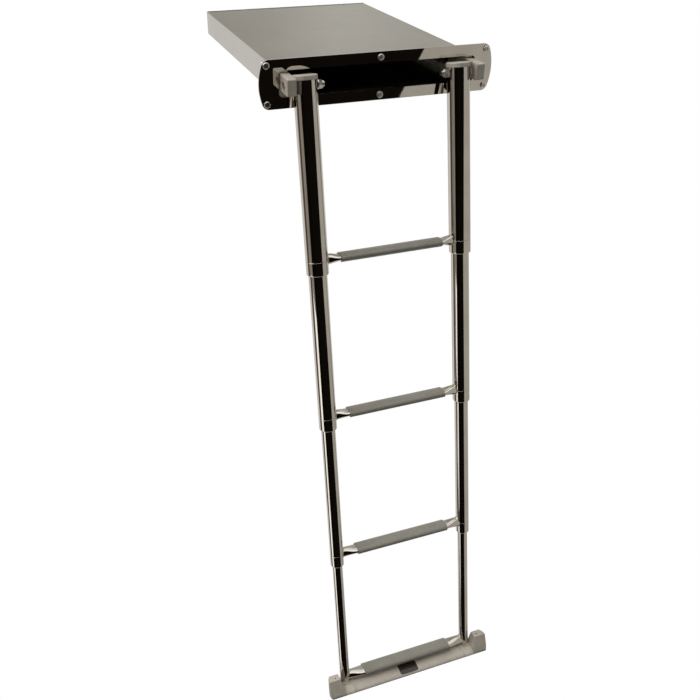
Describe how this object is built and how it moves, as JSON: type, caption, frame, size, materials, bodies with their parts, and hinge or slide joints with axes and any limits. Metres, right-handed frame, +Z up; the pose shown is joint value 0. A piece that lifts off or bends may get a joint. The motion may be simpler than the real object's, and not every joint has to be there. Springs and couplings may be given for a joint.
{
  "type": "telescoping boarding ladder",
  "caption": "Telescoping boat boarding ladder that hangs from a flanged flat box, folds level and closes up to stow inside it.",
  "frame": {"origin": "centre of the flange's back face, the face that seats on the hull, and centre of the box's mouth", "axes": "+X across the ladder, +Y into the boat along the box, +Z up"},
  "size_m": [0.405, 0.7725, 1.1876],
  "materials": {
    "polished_stainless": "mirror-polished stainless steel",
    "satin_stainless": "mill-finished stainless sheet",
    "bright_fastener": "bright stainless",
    "white_plastic": "off-white moulded nylon",
    "grey_plastic": "grey moulded plastic with a fine grain",
    "natural_nylon": "natural nylon"
  },
  "bodies": {
    "cassette": {"box_tray": "satin_stainless", "box_lid": "satin_stainless", "box_back": "satin_stainless", "mounting_flange": "polished_stainless", "flange_screws": "bright_fastener", "guide_strip_left": "natural_nylon", "guide_strip_right": "natural_nylon", "strip_rivets": "bright_fastener", "slider_stops": "natural_nylon", "slider_left": "white_plastic", "slider_right": "white_plastic"},
    "stage_1": {"tube_1_left": "polished_stainless", "tube_1_right": "polished_stainless", "tube_cap_left": "white_plastic", "tube_cap_right": "white_plastic", "hinge_bolts": "bright_fastener", "hinge_nuts": "bright_fastener", "nut_washers": "bright_fastener", "hinge_spacers": "natural_nylon", "collar_1_left": "polished_stainless", "collar_1_right": "polished_stainless", "step_1": "polished_stainless", "tread_1": "grey_plastic"},
    "stage_2": {"tube_2_left": "polished_stainless", "tube_2_right": "polished_stainless", "glide_2_left": "natural_nylon", "glide_2_right": "natural_nylon", "collar_2_left": "polished_stainless", "collar_2_right": "polished_stainless", "step_2": "polished_stainless", "tread_2": "grey_plastic"},
    "stage_3": {"tube_3_left": "polished_stainless", "tube_3_right": "polished_stainless", "glide_3_left": "natural_nylon", "glide_3_right": "natural_nylon", "collar_3_left": "polished_stainless", "collar_3_right": "polished_stainless", "step_3": "polished_stainless", "tread_3": "grey_plastic"},
    "stage_4": {"tube_4_left": "polished_stainless", "tube_4_right": "polished_stainless", "glide_4_left": "natural_nylon", "glide_4_right": "natural_nylon", "step_4": "polished_stainless", "tread_4": "grey_plastic", "end_bar": "white_plastic"}
  },
  "joints": [
    {"name": "fold", "type": "hinge", "parent": "cassette", "child": "stage_1", "pos_m": [0, -0.01811, 0], "axis": [-1, 0, 0], "range_deg": [0, 79.1]},
    {"name": "telescope_2", "type": "slide", "parent": "stage_1", "child": "stage_2", "axis": [0, -0.1891, -0.982], "range_m": [-0.254, 0]},
    {"name": "telescope_3", "type": "slide", "parent": "stage_2", "child": "stage_3", "axis": [0, -0.1891, -0.982], "range_m": [-0.254, 0]},
    {"name": "telescope_4", "type": "slide", "parent": "stage_3", "child": "stage_4", "axis": [0, -0.1891, -0.982], "range_m": [-0.254, 0]}
  ]
}
